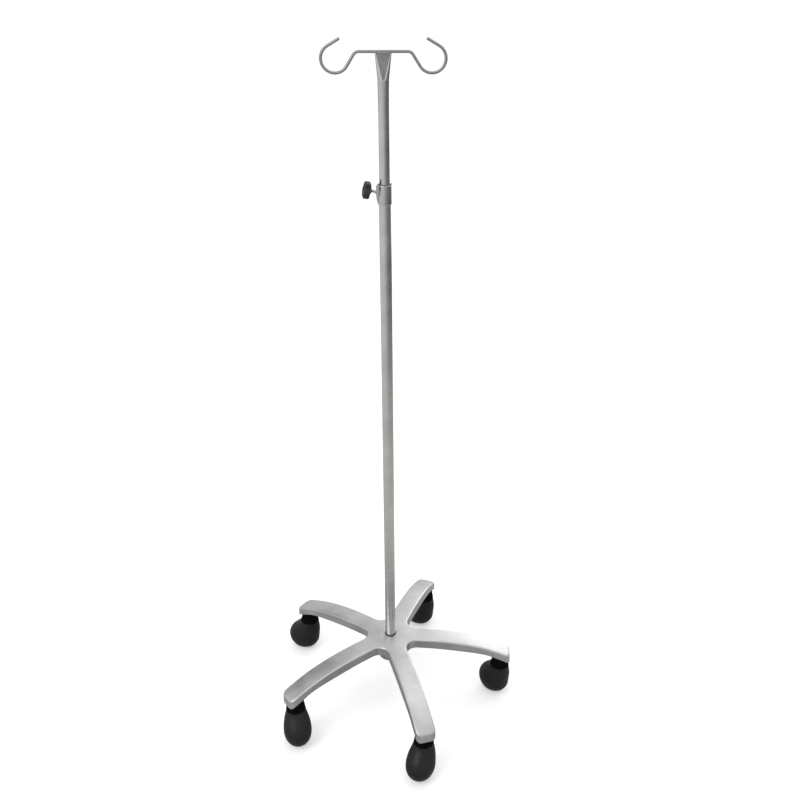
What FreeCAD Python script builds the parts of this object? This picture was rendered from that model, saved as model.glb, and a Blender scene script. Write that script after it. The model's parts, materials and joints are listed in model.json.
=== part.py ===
"""Height-adjustable infusion stand on a five-arm castor base.

Units are millimetres. +Z is up and the origin is on the pole's axis at floor
level. The hook rod lies along X and the clamp knob points to -X.
"""
import FreeCAD, Part
import math
import os

V = FreeCAD.Vector
ORIGIN = V(0, 0, 0)
UP = V(0, 0, 1)

# ---- driving dimensions ------------------------------------------------
# star base
ARMS = 5
ARM_STEP = 360.0 / ARMS
STEM_CIRCLE_R = 279.0
ARM_HALF_WIDTH = 24.0
CROTCH_R = 25.0
SKIRT_WALL = 2.3
TOP_WALL = 4.5
TOP_EDGE_R = 3.5
END_CORNER_R = 13.0
RIB_THICK = 3.0
RIB_SETBACK = 6.0
HUB_BOSS_R = 30.0
HUB_BOTTOM = 122.0
HUB_FLOOR = 130.0
HUB_TOP = 187.5
STEM_BOSS_R = 14.0
STEM_BOSS_BOTTOM = 124.0
CAST_FLOOR = 80.0
BOLT_GAP = 0.3

# castors
WHEEL_R = 37.5
TYRE_INNER_R = 30.0
WHEEL_CROWN = 5.5
WHEEL_BULGE = 23.5
WHEEL_INNER_FACE = 4.5
TYRE_SETBACK = 0.4
TREAD_CHAMFER = 0.8
TRAIL = 19.0
AXLE_R = 4.0
AXLE_HALF = 24.0
AXLE_END_GAP = 0.6
STEM_R = 5.5
STEM_FLANGE_R = 8.5
STEM_FLANGE_THICK = 0.8
STEM_BOTTOM = 84.0
STEM_TOP = 139.0
GROOVE_DEPTH = 0.8
GROOVE_START = 88.0
GROOVE_WIDTH = 2.0
HOOD_TOP = 121.5
HOOD_WALL = 2.0
NECK_R = 21.0
SHOULDER_TOP = 99.0
WELL_R = 38.6
WEB_HALF = 3.7
WELL_REACH = 45.0
DUST_RING_THICK = 1.2
RUNNING_GAP = 0.05
TRAIL_AZIMUTHS = (130.0, 150.0, 160.0, 283.0, 248.0)

# telescoping pole
LOWER_R = 12.5
LOWER_BORE_R = 11.5
LOWER_TOP = 1324.0
UPPER_R = 11.1
UPPER_WALL = 1.0
UPPER_BOTTOM = 543.3
OVAL_START = 1492.0
OVAL_HALF_FLAT = 1.4
PINCH_START = 1536.0
PINCH_TOP = 1584.8
PINCH_THICK = 4.4
PINCH_SEAL = 10.0
BOLT_R = 5.0
BOLT_HEAD_FLATS = 17.0
BOLT_HEAD_THICK = 6.4
BOLT_TOP = 157.0
PLUG_BORE_TOP = 160.0
PLUG_TOP = 165.0
WASHER_R = 10.5
WASHER_THICK = 2.0
FOOT_RING_WALL = 1.6
FOOT_RING_HEIGHT = 2.0
FOOT_RING_SOFTNESS = 1.0
SLIDER_FLOOR = 525.0
SLIDER_SHOULDER = 543.0
SPIGOT_TOP = 575.0

# clamp
COLLAR_BOTTOM = 1294.0
COLLAR_TOP = 1333.0
COLLAR_R = 14.5
RING_R = 13.0
RING_LIP_R = 14.2
RING_LIP_THICK = 1.2
LUG_REACH = 17.3
LUG_HALF_WIDTH = 7.5
LUG_RISE = 13.0
LUG_FALL = 6.0
SCREW_R = 3.0
SCREW_HEIGHT = 1315.2
SCREW_TILT = 12.0
SCREW_AZIMUTH = 8.0
SCREW_HOLE_R = 3.4
BUSH_R = 5.0
BUSH_PROUD = 1.4
PAD_R = 2.8
PAD_START = 12.3
PAD_LENGTH = 1.5
PAD_FLOOR = 0.4
NOSE_R = 1.0
KNOB_START = 29.5
KNOB_THICK = 16.0
KNOB_CORE_R = 13.0
KNOB_LOBES = 6
KNOB_LOBE_R = 5.2
KNOB_LOBE_CIRCLE_R = 12.8
KNOB_EDGE_R = 2.6
KNOB_NECK_R = 6.0
KNOB_NECK_LENGTH = 1.5
CAP_R = 7.0
CAP_SEAT = 1.5
CAP_PROUD = 0.8
SCREW_END = 41.0

# hook rod
ROD_R = 3.0
ROD_HEIGHT = 1587.0
BEND_R = 12.0
BEND_X = 46.5
HOOK_R = 26.5
HOOK_X = 92.5
HOOK_DROP = 12.5
TIP_RISE = 30.0
TIP_LENGTH = 27.0
TIP_ROUND = 1.4


# ---- small helpers -----------------------------------------------------
def save(name, shape):
    """Write one sub-part as a STEP file."""
    shape.exportStep("parts/" + name + ".step")


def cylinder(radius, bottom, top, x=0.0, y=0.0):
    """Upright cylinder between two heights."""
    return Part.makeCylinder(radius, top - bottom, V(x, y, bottom))


def tube(outer, inner, bottom, top):
    """Upright ring or tube on the pole's axis."""
    return cylinder(outer, bottom, top).cut(cylinder(inner, bottom - 1, top + 1))


def polar(radius, degrees, z=0.0):
    """Point at a radius and azimuth."""
    angle = math.radians(degrees)
    return V(radius * math.cos(angle), radius * math.sin(angle), z)


def turned(shape, degrees):
    """Copy of a shape turned about the pole's axis."""
    copy = shape.copy()
    copy.rotate(ORIGIN, UP, degrees)
    return copy


def spline(points):
    """Smooth curve through a few points of a radial section."""
    curve = Part.BSplineCurve()
    curve.interpolate([V(r, 0, z) for r, z in points])
    return curve.toShape()


def revolved(edges, centre=ORIGIN, axis=UP):
    """Solid of revolution of a closed section in the XZ plane."""
    return Part.Face(Part.Wire(edges)).revolve(centre, axis, 360)


# ---- star base ---------------------------------------------------------
# (distance from the pole's axis, height) along the casting's top and its lower edge
TOP_LINE = [(0, HUB_TOP), (25, HUB_TOP), (48, 185.4), (80, 183.5), (115, 181.5), (150, 178),
            (190, 171.5), (235, 160.5), (270, 148), (290, 139.5), (312, 129)]
BOTTOM_LINE = [(0, 161), (60, 160.5), (115, 157.5), (150, 153.5), (190, 148), (235, 140),
               (258, 132.5), (275, 123), (290, 113), (303, 104), (312, 98)]


def below(line, drop=0.0):
    """Everything in the casting's envelope under a radial height line."""
    points = [(r, z - drop) for r, z in line]
    reach = points[-1][0]
    inner = V(0, 0, CAST_FLOOR)
    outer = V(reach, 0, CAST_FLOOR)
    start = V(points[0][0], 0, points[0][1])
    end = V(reach, 0, points[-1][1])
    edges = [Part.makeLine(inner, outer), Part.makeLine(outer, end),
             spline(points), Part.makeLine(start, inner)]
    return revolved(edges)


def star_prism(inset):
    """Upright prism of the five-arm outline, drawn inwards by an inset."""
    half = ARM_HALF_WIDTH - inset
    crotch = CROTCH_R + inset
    corner = END_CORNER_R - inset
    end = STEM_CIRCLE_R + half
    centre_r = (half + crotch) / math.sin(math.radians(ARM_STEP / 2))
    root = centre_r * math.cos(math.radians(ARM_STEP / 2))
    diagonal = corner * (1 - math.sqrt(0.5))
    edges = []
    for arm in range(ARMS):
        azimuth = arm * ARM_STEP
        frame = [V(root, -half, 0), V(end - corner, -half, 0), V(end - diagonal, diagonal - half, 0),
                 V(end, corner - half, 0), V(end, half - corner, 0), V(end - diagonal, half - diagonal, 0),
                 V(end - corner, half, 0), V(root, half, 0)]
        placed = [FreeCAD.Rotation(UP, azimuth).multVec(point) for point in frame]
        next_root = FreeCAD.Rotation(UP, azimuth + ARM_STEP).multVec(frame[0])
        web = polar(centre_r - crotch, azimuth + ARM_STEP / 2)
        edges.append(Part.makeLine(placed[0], placed[1]))
        edges.append(Part.Arc(placed[1], placed[2], placed[3]).toShape())
        edges.append(Part.makeLine(placed[3], placed[4]))
        edges.append(Part.Arc(placed[4], placed[5], placed[6]).toShape())
        edges.append(Part.makeLine(placed[6], placed[7]))
        edges.append(Part.Arc(placed[7], web, next_root).toShape())
    prism = Part.Face(Part.Wire(edges)).extrude(V(0, 0, HUB_TOP))
    return prism


def rounded_top(shell):
    """Round the long edge between the casting's top and its skirt."""
    rim = []
    for edge in shell.Edges:
        middle = edge.valueAt((edge.FirstParameter + edge.LastParameter) / 2)
        radius = math.hypot(middle.x, middle.y)
        floor = shell.BoundBox.ZMin
        if middle.z > height_at(TOP_LINE, radius) - 1.5 and middle.z > floor and edge.Length > 5:
            rim.append(edge)
    return shell.makeFillet(TOP_EDGE_R, rim)


def height_at(line, radius):
    """Height of a radial line by straight interpolation."""
    for (r0, z0), (r1, z1) in zip(line, line[1:]):
        if r0 <= radius <= r1:
            return z0 + (z1 - z0) * (radius - r0) / (r1 - r0)
    return line[-1][1]


def arm_rib():
    """Stiffening rib along the underside of the arm on +X."""
    length = STEM_CIRCLE_R - HUB_BOSS_R
    return Part.makeBox(length, RIB_THICK, HUB_TOP, V(HUB_BOSS_R - 1, -RIB_THICK / 2, 0))


def star_base():
    """Hollow aluminium casting with a hub boss, stem bosses and ribs."""
    envelope = star_prism(0).common(below(TOP_LINE)).cut(below(BOTTOM_LINE))
    skin = rounded_top(envelope)
    under_top = below(TOP_LINE, TOP_WALL)
    casting = skin.cut(star_prism(SKIRT_WALL).common(under_top))
    rib_space = under_top.cut(below(BOTTOM_LINE, -RIB_SETBACK))
    casting = casting.fuse(cylinder(HUB_BOSS_R, HUB_BOTTOM, HUB_TOP - TOP_WALL / 2))
    for arm in range(ARMS):
        rib = turned(arm_rib(), arm * ARM_STEP).common(rib_space)
        centre = polar(STEM_CIRCLE_R, arm * ARM_STEP)
        boss = cylinder(STEM_BOSS_R, STEM_BOSS_BOTTOM, HUB_TOP, centre.x, centre.y)
        casting = casting.fuse([rib, boss.common(below(TOP_LINE, TOP_WALL / 2))])
    for arm in range(ARMS):
        centre = polar(STEM_CIRCLE_R, arm * ARM_STEP)
        casting = casting.cut(cylinder(STEM_R, CAST_FLOOR, STEM_TOP + 1, centre.x, centre.y))
    casting = casting.cut(cylinder(LOWER_R, HUB_FLOOR, HUB_TOP + 1))
    return casting.cut(cylinder(BOLT_R + BOLT_GAP, HUB_BOTTOM - 1, HUB_FLOOR + 1))


# ---- castors -----------------------------------------------------------
def at_arm(shape, arm):
    """Place a castor piece made at the origin under one arm, trailing at rest."""
    centre = polar(STEM_CIRCLE_R, arm * ARM_STEP)
    copy = turned(shape, TRAIL_AZIMUTHS[arm])
    copy.translate(centre)
    return copy


# height, distance of the centre from the stem, half length and half width
HOOD_SECTIONS = [(12, TRAIL, 32.2, 27.2), (24, TRAIL, 39.6, 32.2), (38, TRAIL, 42.2, 34.0),
                 (50, 17.2, 41.6, 33.4), (62, 13.0, 38.9, 31.4), (74, 7.0, 32.4, 27.8),
                 (84, 2.5, 26.4, 24.6), (94, 0.3, 23.7, 23.5), (SHOULDER_TOP, 0, 23.4, 23.3)]


def ellipse_wire(z, centre_x, half_length, half_width):
    """Horizontal oval section of the hood."""
    oval = Part.Ellipse(V(centre_x, 0, z), half_length, half_width)
    return Part.Wire([oval.toShape()])


def hood_cavity():
    """Space inside the hood's wall, open at the bottom."""
    wires = [ellipse_wire(z, x, long - HOOD_WALL, wide - HOOD_WALL)
             for z, x, long, wide in HOOD_SECTIONS[:-2]]
    low_z, low_x, low_long, low_wide = HOOD_SECTIONS[0]
    under = ellipse_wire(low_z - HOOD_WALL, low_x, low_long - HOOD_WALL, low_wide - HOOD_WALL)
    skirt = Part.Face(under).extrude(V(0, 0, 2 * HOOD_WALL))
    return Part.makeLoft(wires, True, False).fuse(skirt)


def castor_hood():
    """Egg-shaped shell with a central web between its two wheel wells."""
    wires = [ellipse_wire(*section) for section in HOOD_SECTIONS]
    egg = Part.makeLoft(wires, True, False)
    hood = egg.fuse(cylinder(NECK_R, SHOULDER_TOP - 1, HOOD_TOP))
    cavity = hood_cavity()
    axle_centre = V(TRAIL, 0, WHEEL_R)
    for side in (1, -1):
        start = axle_centre + V(0, side * WEB_HALF, 0)
        well = Part.makeCylinder(WELL_R, WELL_REACH, start, V(0, side, 0))
        hood = hood.cut(well.common(cavity))
    bore_start = axle_centre - V(0, 2 * WEB_HALF, 0)
    hood = hood.cut(Part.makeCylinder(AXLE_R, 4 * WEB_HALF, bore_start, V(0, 1, 0)))
    return hood.cut(cylinder(STEM_R + RUNNING_GAP, STEM_BOTTOM - 1, HOOD_TOP + 1))


def castor_stem():
    """Steel stem with a flange under the arm's boss and a grip groove."""
    stem = cylinder(STEM_R, STEM_BOTTOM, STEM_TOP)
    stem = stem.fuse(cylinder(STEM_FLANGE_R, STEM_BOSS_BOTTOM - STEM_FLANGE_THICK, STEM_BOSS_BOTTOM))
    groove = tube(STEM_R + 1, STEM_R - GROOVE_DEPTH, GROOVE_START, GROOVE_START + GROOVE_WIDTH)
    return stem.cut(groove)


def castor_axle():
    """Steel axle pin that both wheels turn on."""
    return Part.makeCylinder(AXLE_R, 2 * AXLE_HALF, V(TRAIL, -AXLE_HALF, WHEEL_R), V(0, 1, 0))


def dust_ring():
    """Plastic ring on top of the hood's neck."""
    return tube(STEM_BOSS_R, STEM_R + BOLT_GAP, HOOD_TOP, HOOD_TOP + DUST_RING_THICK)


def wheel_solid(section):
    """Turn a wheel section, given as (across, radius) edges, about the axle."""
    return revolved(section, V(TRAIL, 0, WHEEL_R), V(0, 1, 0))


def wheel_point(across, radius):
    """Point of a wheel section: distance from the mid-plane and from the axle."""
    return V(TRAIL, across, WHEEL_R + radius)


def tyre_profile():
    """Oval outer profile of the tyre, from the tread to the edge of the wheel's dome."""
    oval = Part.Ellipse(wheel_point(WHEEL_CROWN, WHEEL_R), wheel_point(WHEEL_CROWN + WHEEL_BULGE, 0),
                        wheel_point(WHEEL_CROWN, 0))
    return Part.ArcOfEllipse(oval, 0, math.acos(TYRE_INNER_R / WHEEL_R)).toShape()


def wheel_core():
    """Wheel body with a domed outer face and a blind axle bore."""
    face = WHEEL_CROWN + WHEEL_BULGE
    tyre_edge = tyre_profile().Vertexes[1].Point
    rise = face - tyre_edge.y
    sphere_r = (TYRE_INNER_R ** 2 + rise ** 2) / (2 * rise)
    half_way = math.asin(TYRE_INNER_R / sphere_r) / 2
    middle = wheel_point(face - sphere_r * (1 - math.cos(half_way)), sphere_r * math.sin(half_way))
    crown = wheel_point(face, 0)
    foot = wheel_point(WHEEL_INNER_FACE, 0)
    corner = wheel_point(WHEEL_INNER_FACE, TYRE_INNER_R)
    core = wheel_solid([Part.makeLine(foot, corner), Part.makeLine(corner, tyre_edge),
                        Part.Arc(tyre_edge, middle, crown).toShape(), Part.makeLine(crown, foot)])
    start = V(TRAIL, 0, WHEEL_R)
    bore = Part.makeCylinder(AXLE_R + RUNNING_GAP, AXLE_HALF + AXLE_END_GAP, start, V(0, 1, 0))
    return core.cut(bore)


def wheel_tyre():
    """Rubber tread ring that carries on the wheel's rounded profile."""
    inner = WHEEL_INNER_FACE + TYRE_SETBACK
    arc = tyre_profile()
    tread = arc.Vertexes[0].Point
    side = arc.Vertexes[1].Point
    foot = wheel_point(inner, TYRE_INNER_R)
    corner = wheel_point(inner, WHEEL_R - TREAD_CHAMFER)
    return wheel_solid([Part.makeLine(foot, corner), Part.makeLine(corner, tread), arc,
                        Part.makeLine(side, foot)])


def mirrored(shape):
    """Other-hand copy across the castor's mid-plane."""
    return shape.mirror(ORIGIN, V(0, 1, 0))


# ---- pole --------------------------------------------------------------
def screw_direction():
    """Unit vector of the clamp screw, from the pole outwards."""
    return FreeCAD.Rotation(UP, 180 + SCREW_AZIMUTH).multVec(
        V(math.cos(math.radians(SCREW_TILT)), 0, math.sin(math.radians(SCREW_TILT))))


def along_screw(radius, start, end):
    """Cylinder on the clamp screw's axis between two distances from the pole's axis."""
    way = screw_direction()
    return Part.makeCylinder(radius, end - start, V(0, 0, SCREW_HEIGHT) + way * start, way)


def lower_pole():
    """Fixed stainless tube with a hole for the clamp screw's tip."""
    pole = tube(LOWER_R, LOWER_BORE_R, HUB_FLOOR, LOWER_TOP)
    return pole.cut(along_screw(SCREW_HOLE_R, 5, 20))


def pole_plug():
    """Steel plug pressed into the foot of the lower tube, bored for the bolt."""
    plug = cylinder(LOWER_BORE_R, HUB_FLOOR, PLUG_TOP)
    return plug.cut(cylinder(BOLT_R, HUB_FLOOR - 1, PLUG_BORE_TOP))


def hex_prism(across_flats, bottom, height):
    """Upright hexagonal prism."""
    corner_r = across_flats / math.sqrt(3)
    corners = [polar(corner_r, 60 * i, bottom) for i in range(7)]
    return Part.Face(Part.makePolygon(corners)).extrude(V(0, 0, height))


def pole_bolt():
    """Hexagon bolt that pulls the pole down into the hub."""
    head_top = HUB_BOTTOM - WASHER_THICK
    shank = cylinder(BOLT_R, head_top, BOLT_TOP)
    head = hex_prism(BOLT_HEAD_FLATS, head_top - BOLT_HEAD_THICK, BOLT_HEAD_THICK)
    return head.fuse(shank)


def pole_washer():
    """Flat washer between the bolt's head and the hub."""
    return tube(WASHER_R, BOLT_R + BOLT_GAP, HUB_BOTTOM - WASHER_THICK, HUB_BOTTOM)


def foot_ring():
    """Sealing ring where the pole enters the hub."""
    top = HUB_TOP + FOOT_RING_HEIGHT
    ring = tube(LOWER_R + FOOT_RING_WALL, LOWER_R, HUB_TOP, top)
    rim = [edge for edge in ring.Edges if edge.BoundBox.ZMin > top - 0.1]
    outer = [edge for edge in rim if edge.BoundBox.XMax > LOWER_R + FOOT_RING_WALL / 2]
    return ring.makeFillet(FOOT_RING_SOFTNESS, outer)


def slider_plug():
    """Nylon plug that guides the foot of the upper tube and lets it turn."""
    plug = cylinder(LOWER_BORE_R - RUNNING_GAP, SLIDER_FLOOR, SLIDER_SHOULDER)
    bore_r = UPPER_R - UPPER_WALL
    return plug.fuse(cylinder(bore_r - RUNNING_GAP, SLIDER_SHOULDER, SPIGOT_TOP))


def stadium(half_flat, end_r, z):
    """Flat-sided oval wire along X."""
    p = [V(-half_flat, -end_r, z), V(half_flat, -end_r, z), V(half_flat + end_r, 0, z),
         V(half_flat, end_r, z), V(-half_flat, end_r, z), V(-half_flat - end_r, 0, z)]
    return Part.Wire([Part.makeLine(p[0], p[1]), Part.Arc(p[1], p[2], p[3]).toShape(),
                      Part.makeLine(p[3], p[4]), Part.Arc(p[4], p[5], p[0]).toShape()])


def round_wire(radius, z):
    """Circle in four arcs that line up with the sides and ends of the oval."""
    p = [polar(radius, degrees, z) for degrees in (-105, -90, -75, 0, 75, 90, 105, 180)]
    return Part.Wire([Part.Arc(p[i], p[i + 1], p[(i + 2) % 8]).toShape() for i in range(0, 8, 2)])


def pinched_rod(inset, top):
    """Round bar that widens and thins to a flat oval; the inset is the tube's wall or 0."""
    end_r = PINCH_THICK / 2
    half_flat = math.pi * (UPPER_R - end_r) / 2
    oval_r = UPPER_R - 2 * OVAL_HALF_FLAT / math.pi
    wires = [round_wire(UPPER_R - inset, OVAL_START),
             stadium(OVAL_HALF_FLAT, oval_r - inset, PINCH_START),
             stadium(half_flat, end_r - inset, top)]
    foot = Part.Face(round_wire(UPPER_R - inset, UPPER_BOTTOM))
    bar = foot.extrude(V(0, 0, OVAL_START - UPPER_BOTTOM))
    return bar.fuse([Part.makeLoft(wires[:2], True, True), Part.makeLoft(wires[1:], True, True)])


def upper_pole():
    """Sliding tube, pressed flat and closed at the top and notched for the hook rod."""
    pole = pinched_rod(0, PINCH_TOP).cut(pinched_rod(UPPER_WALL, PINCH_TOP - PINCH_SEAL))
    notch = Part.makeCylinder(ROD_R, 2 * BEND_X, V(-BEND_X, 0, ROD_HEIGHT), V(1, 0, 0))
    return pole.cut(notch)


# ---- clamp -------------------------------------------------------------
def clamp_collar():
    """Sleeve on top of the lower tube with a lug for the clamp screw."""
    inner_x = UPPER_R
    outline = [V(-inner_x, 0, COLLAR_BOTTOM), V(-COLLAR_R, 0, COLLAR_BOTTOM),
               V(-LUG_REACH, 0, COLLAR_BOTTOM + LUG_RISE), V(-LUG_REACH, 0, COLLAR_TOP - LUG_FALL),
               V(-COLLAR_R, 0, COLLAR_TOP), V(-inner_x, 0, COLLAR_TOP)]
    lug = Part.Face(Part.makePolygon(outline + outline[:1])).extrude(V(0, LUG_HALF_WIDTH * 2, 0))
    lug.translate(V(0, -LUG_HALF_WIDTH, 0))
    lug = turned(lug, SCREW_AZIMUTH)
    collar = cylinder(COLLAR_R, COLLAR_BOTTOM, COLLAR_TOP).fuse(lug)
    collar = collar.cut(cylinder(LOWER_R, COLLAR_BOTTOM - 1, LOWER_TOP + 1))
    collar = collar.cut(cylinder(RING_R, LOWER_TOP, COLLAR_TOP + 1))
    return collar.cut(along_screw(BUSH_R, 5, 30))


def guide_ring():
    """Nylon ring that centres the upper tube."""
    ring = tube(RING_R, UPPER_R + RUNNING_GAP, LOWER_TOP, COLLAR_TOP)
    lip = tube(RING_LIP_R, UPPER_R + RUNNING_GAP, COLLAR_TOP, COLLAR_TOP + RING_LIP_THICK)
    return ring.fuse(lip)


def thread_insert():
    """Threaded steel bush in the collar's lug."""
    bush = along_screw(BUSH_R, LOWER_R, LUG_REACH + BUSH_PROUD)
    bush = bush.cut(along_screw(SCREW_R + RUNNING_GAP, 5, 30))
    return bush.cut(cylinder(LOWER_R + 0.05, COLLAR_BOTTOM, COLLAR_TOP))


def pressure_pad():
    """Brass tip that presses on the upper tube."""
    pad = along_screw(PAD_R, PAD_START, PAD_START + PAD_LENGTH)
    return pad.cut(along_screw(NOSE_R + RUNNING_GAP, PAD_START + PAD_FLOOR, SCREW_END))


def clamp_screw():
    """Steel screw with a small nose that turns in the pad."""
    shoulder = PAD_START + PAD_LENGTH + RUNNING_GAP
    screw = along_screw(SCREW_R, shoulder, SCREW_END)
    return screw.fuse(along_screw(NOSE_R, PAD_START + PAD_FLOOR + RUNNING_GAP, shoulder))


def clamp_knob():
    """Star knob with rounded lobes and a short neck towards the collar."""
    way = screw_direction()
    side = way.cross(UP).normalize()
    far = KNOB_START + KNOB_THICK
    knob = along_screw(KNOB_CORE_R, KNOB_START, far)
    for lobe in range(KNOB_LOBES):
        turn = FreeCAD.Rotation(way, 360.0 * lobe / KNOB_LOBES)
        start = V(0, 0, SCREW_HEIGHT) + way * KNOB_START
        centre = start + turn.multVec(side) * KNOB_LOBE_CIRCLE_R
        knob = knob.fuse(Part.makeCylinder(KNOB_LOBE_R, KNOB_THICK, centre, way))
    knob = knob.removeSplitter()
    ends = [edge for edge in knob.Edges if not is_lengthwise(edge, way)]
    knob = knob.makeFillet(KNOB_EDGE_R, ends)
    knob = knob.fuse(along_screw(KNOB_NECK_R, KNOB_START - KNOB_NECK_LENGTH, KNOB_START + 1))
    knob = knob.cut(along_screw(SCREW_R, KNOB_START - 2 * KNOB_NECK_LENGTH, SCREW_END))
    return knob.cut(along_screw(CAP_R, far - CAP_SEAT, far + 1))


def is_lengthwise(edge, way):
    """True for an edge that runs along the screw."""
    chord = edge.Vertexes[-1].Point - edge.Vertexes[0].Point
    return abs(chord.dot(way)) > 1.0


def knob_cap():
    """Round cap in the knob's outer face."""
    end = KNOB_START + KNOB_THICK
    return along_screw(CAP_R, end - CAP_SEAT, end + CAP_PROUD)


# ---- hook rod ----------------------------------------------------------
def hook_path(side):
    """Edges of one hook from the pole's axis to its tip, in the plane y = 0."""
    bend = (BEND_X, -BEND_R)
    hook = (HOOK_X, -HOOK_DROP)
    gap = math.hypot(hook[0] - bend[0], hook[1] - bend[1])
    lean = math.degrees(math.atan2(hook[1] - bend[1], hook[0] - bend[0]))
    spread = math.degrees(math.acos((BEND_R + HOOK_R) / gap))
    leave = lean + spread
    tip_start = 90.0 - TIP_RISE

    def on(circle, radius, degrees):
        angle = math.radians(degrees)
        return place(circle[0] + radius * math.cos(angle), circle[1] + radius * math.sin(angle))

    def place(x, z):
        return V(side * x, 0, ROD_HEIGHT + z)

    start = place(0, 0)
    bend_start = place(BEND_X, 0)
    bend_middle = on(bend, BEND_R, (90 + leave) / 2)
    bend_end = on(bend, BEND_R, leave)
    arc_start = on(hook, HOOK_R, leave + 180)
    arc_middle = on(hook, HOOK_R, (leave + 180 + tip_start + 360) / 2)
    arc_end = on(hook, HOOK_R, tip_start)
    rise = math.radians(TIP_RISE)
    tip = arc_end + V(-side * TIP_LENGTH * math.cos(rise), 0, TIP_LENGTH * math.sin(rise))
    return [Part.makeLine(start, bend_start),
            Part.Arc(bend_start, bend_middle, bend_end).toShape(),
            Part.makeLine(bend_end, arc_start),
            Part.Arc(arc_start, arc_middle, arc_end).toShape(),
            Part.makeLine(arc_end, tip)]


def hook_half(side):
    """One half of the hook rod, with a rounded tip."""
    path = Part.Wire(hook_path(side))
    ring = Part.Wire([Part.makeCircle(ROD_R, V(0, 0, ROD_HEIGHT), V(1, 0, 0))])
    rod = path.makePipeShell([ring], True, True)
    tip = path.Edges[-1].Vertexes[-1].Point
    ends = [edge for edge in rod.Edges
            if edge.BoundBox.Center.distanceToPoint(tip) < 1.0]
    return rod.makeFillet(TIP_ROUND, ends)


def hook_rod():
    """Bent rod with a hook at each end, welded across the pole's top."""
    return hook_half(1).fuse(hook_half(-1)).removeSplitter()


# ---- write every sub-part ------------------------------------------------
def main():
    os.makedirs("parts", exist_ok=True)
    save("star_base", star_base())
    save("pole_bolt", pole_bolt())
    save("pole_washer", pole_washer())
    save("pole_plug", pole_plug())
    save("foot_ring", foot_ring())
    save("lower_pole", lower_pole())
    save("clamp_collar", clamp_collar())
    save("guide_ring", guide_ring())
    save("thread_insert", thread_insert())
    save("slider_plug", slider_plug())
    save("upper_pole", upper_pole())
    save("hook_rod", hook_rod())
    save("pressure_pad", pressure_pad())
    save("clamp_screw", clamp_screw())
    save("clamp_knob", clamp_knob())
    save("knob_cap", knob_cap())
    pieces = {"caster_stem": castor_stem(), "caster_hood": castor_hood(),
              "caster_axle": castor_axle(), "dust_ring": dust_ring(),
              "wheel_core_a": wheel_core(), "wheel_core_b": mirrored(wheel_core()),
              "wheel_tyre_a": wheel_tyre(), "wheel_tyre_b": mirrored(wheel_tyre())}
    for arm in range(ARMS):
        for name, piece in pieces.items():
            save(name + "_" + str(arm + 1), at_arm(piece, arm))


main()
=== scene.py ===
"""Looks of a height-adjustable infusion stand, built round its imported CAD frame.

Metres, +Z up, with the origin on the pole's axis at floor level. Sizes that the
frame holds are read from it; the other shape sizes are named and given in
millimetres times MM.
"""
import json
import math

import bmesh
import bpy
from mathutils import Matrix, Vector
from mathutils.bvhtree import BVHTree


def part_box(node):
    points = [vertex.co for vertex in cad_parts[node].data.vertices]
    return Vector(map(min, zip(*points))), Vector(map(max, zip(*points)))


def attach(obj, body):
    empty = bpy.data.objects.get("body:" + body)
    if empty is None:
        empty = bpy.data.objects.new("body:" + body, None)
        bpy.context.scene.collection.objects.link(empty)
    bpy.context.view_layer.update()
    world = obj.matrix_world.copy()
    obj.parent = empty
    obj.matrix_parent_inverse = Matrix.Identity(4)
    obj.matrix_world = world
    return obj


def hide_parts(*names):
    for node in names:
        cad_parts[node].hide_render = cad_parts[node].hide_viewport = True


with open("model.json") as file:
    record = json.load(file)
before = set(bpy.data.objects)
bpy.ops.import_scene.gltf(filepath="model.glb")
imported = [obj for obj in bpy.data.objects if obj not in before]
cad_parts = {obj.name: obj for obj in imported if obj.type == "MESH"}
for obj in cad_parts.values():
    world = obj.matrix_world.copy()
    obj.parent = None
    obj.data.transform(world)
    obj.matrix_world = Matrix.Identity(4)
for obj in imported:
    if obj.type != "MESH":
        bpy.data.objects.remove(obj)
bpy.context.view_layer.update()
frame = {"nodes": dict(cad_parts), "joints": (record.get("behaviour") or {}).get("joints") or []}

MM = 0.001
WELD = 0.0005 * MM
ON_AXIS = 0.001 * MM
NODES = frame["nodes"]
SCENE = bpy.context.scene


# ---- places read from the frame -----------------------------------------
def middle(node):
    """Centre of a CAD node's box."""
    low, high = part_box(node)
    return (low + high) / 2


ARMS = 5
ARM_STEP = math.tau / ARMS
STEM_CIRCLE = middle("caster_stem_1").x
POLE_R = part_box("lower_pole")[1].x
POLE_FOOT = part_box("lower_pole")[0].z
POLE_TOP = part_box("lower_pole")[1].z
UPPER_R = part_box("upper_pole")[1].y
UPPER_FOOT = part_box("upper_pole")[0].z
UPPER_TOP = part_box("upper_pole")[1].z
UPPER_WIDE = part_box("upper_pole")[1].x
COLLAR_LOW, COLLAR_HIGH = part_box("clamp_collar")
RING_LOW, RING_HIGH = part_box("guide_ring")
FOOT_LOW, FOOT_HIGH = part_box("foot_ring")
ARM_END = STEM_CIRCLE + 24 * MM


# ---- mesh helpers -------------------------------------------------------
def skin(bm, rings, closed=False):
    """Faces between successive rings of points; a ring of one point is a tip."""
    made = [[bm.verts.new(point) for point in ring] for ring in rings]
    pairs = list(zip(made, made[1:]))
    if closed:
        pairs.append((made[-1], made[0]))
    for first, second in pairs:
        count = max(len(first), len(second))
        for here in range(count):
            there = (here + 1) % count
            corners = [first[here % len(first)], first[there % len(first)],
                       second[there % len(second)], second[here % len(second)]]
            corners = list(dict.fromkeys(corners))
            if len(corners) > 2:
                bm.faces.new(corners)


def on_circle(radius, angle, height=0.0):
    """Point at a radius and angle about +Z."""
    return Vector((radius * math.cos(angle), radius * math.sin(angle), height))


def full_turn(count):
    """Evenly spaced angles of one full turn."""
    return [math.tau * k / count for k in range(count)]


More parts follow.
